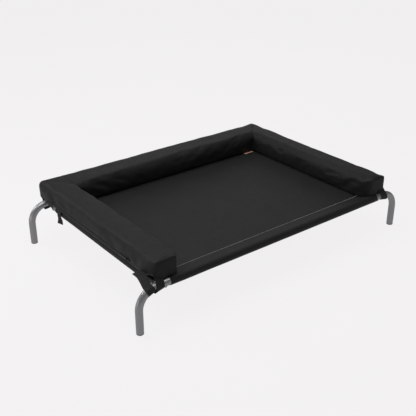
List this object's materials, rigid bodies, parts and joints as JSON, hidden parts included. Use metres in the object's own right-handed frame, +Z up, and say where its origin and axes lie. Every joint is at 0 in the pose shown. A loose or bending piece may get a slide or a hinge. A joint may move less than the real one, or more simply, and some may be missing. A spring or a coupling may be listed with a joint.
{
  "type": "raised dog bed with bolster",
  "caption": "Raised dog bed: low tubular steel frame on bent-tube legs, stretched woven mat, removable foam bolster round three sides, open front.",
  "frame": {"origin": "on the floor, under the middle of the bed's overall box", "axes": "+X along the bed to its right, +Y towards the back bolster, +Z up"},
  "size_m": [1.205, 0.7874, 0.227],
  "materials": {
    "frame_steel": "silver-grey powder coat, satin",
    "foot_plastic": "moulded grey plug, satin",
    "black_plastic": "moulded black nylon",
    "screw_zinc": "zinc-plated screw",
    "mat_cloth": "black coated plain-weave cloth, slight sheen",
    "cover_cloth": "black plain-weave cover cloth with a soft sheen",
    "webbing": "black ribbed webbing",
    "foam": "open-cell upholstery foam",
    "zip_plastic": "black moulded zip parts",
    "tag_cloth": "woven orange tag with pale edges"
  },
  "bodies": {
    "bed": {"front_rail": "frame_steel", "back_rail": "frame_steel", "left_side_rail": "frame_steel", "right_side_rail": "frame_steel", "leg_front_left": "frame_steel", "foot_plug_front_left": "foot_plastic", "side_collar_front_left": "black_plastic", "leg_screw_front_left": "screw_zinc", "side_screw_front_left": "screw_zinc", "side_strap_front_left": "webbing", "end_strap_front_left": "webbing", "leg_front_right": "frame_steel", "foot_plug_front_right": "foot_plastic", "side_collar_front_right": "black_plastic", "leg_screw_front_right": "screw_zinc", "side_screw_front_right": "screw_zinc", "side_strap_front_right": "webbing", "end_strap_front_right": "webbing", "leg_back_left": "frame_steel", "foot_plug_back_left": "foot_plastic", "side_collar_back_left": "black_plastic", "leg_screw_back_left": "screw_zinc", "side_screw_back_left": "screw_zinc", "side_strap_back_left": "webbing", "end_strap_back_left": "webbing", "leg_back_right": "frame_steel", "foot_plug_back_right": "foot_plastic", "side_collar_back_right": "black_plastic", "leg_screw_back_right": "screw_zinc", "side_screw_back_right": "screw_zinc", "side_strap_back_right": "webbing", "end_strap_back_right": "webbing", "mat_panel": "mat_cloth", "front_sleeve": "mat_cloth", "back_sleeve": "mat_cloth", "left_sleeve": "mat_cloth", "right_sleeve": "mat_cloth", "bolster_cover": "cover_cloth", "foam_core_left": "foam", "foam_core_right": "foam", "foam_core_back": "foam", "zip_tape_upper": "cover_cloth", "zip_tape_lower": "cover_cloth", "zip_chain": "zip_plastic", "zip_stop_front": "zip_plastic", "zip_stop_back": "zip_plastic", "cloth_tag": "tag_cloth"},
    "zip_slider": {"zip_slider": "zip_plastic"},
    "zip_pull": {"zip_pull": "zip_plastic"}
  },
  "joints": [
    {"name": "zip_slide", "type": "slide", "parent": "bed", "child": "zip_slider", "axis": [0, 1, 0], "range_m": [0, 0.48]},
    {"name": "zip_pull_swing", "type": "hinge", "parent": "zip_slider", "child": "zip_pull", "pos_m": [-0.5358, -0.22578, 0.1755], "axis": [0, 0, 1], "range_deg": [0, 175]}
  ]
}
